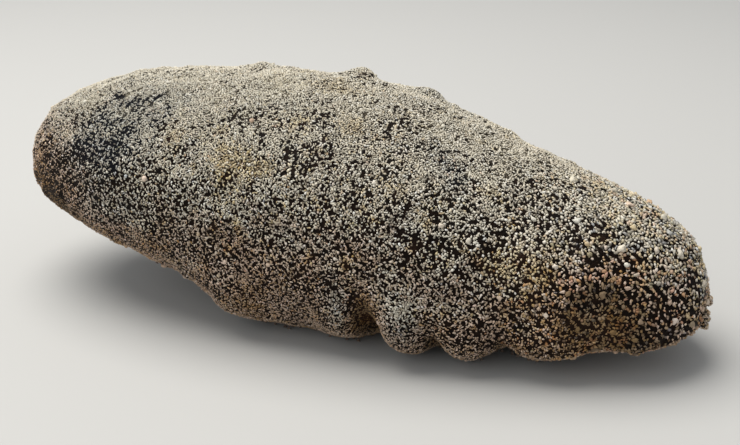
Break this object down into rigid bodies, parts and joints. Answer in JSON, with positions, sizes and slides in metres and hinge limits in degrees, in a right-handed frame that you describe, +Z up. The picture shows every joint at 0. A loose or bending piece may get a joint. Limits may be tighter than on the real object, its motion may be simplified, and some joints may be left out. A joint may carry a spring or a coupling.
{
  "type": "sea cucumber",
  "caption": "Life-size model of a stout, sand-coated sea cucumber resting on its flat sole, head end raised, with teats along its lower flanks and a mouth below.",
  "frame": {"origin": "on the floor, under the middle of the animal's bounding box, level with its sole", "axes": "+X along the body from the head to the tail, +Z up from the floor; the flank that the picture shows faces -Y"},
  "size_m": [0.3013, 0.1148, 0.1022],
  "materials": {
    "sanded_skin": "matte, near-black skin under a close coat of pale coral sand",
    "lip_skin": "smooth, near-black, slightly moist",
    "tentacle_skin": "smooth, dark brown-grey, slightly moist"
  },
  "bodies": {
    "root": {"head_end": "sanded_skin", "front_trunk": "sanded_skin", "middle_trunk": "sanded_skin", "rear_trunk": "sanded_skin", "tail_end": "sanded_skin", "mouth_lip": "lip_skin", "oral_tentacles": "tentacle_skin"}
  },
  "joints": []
}
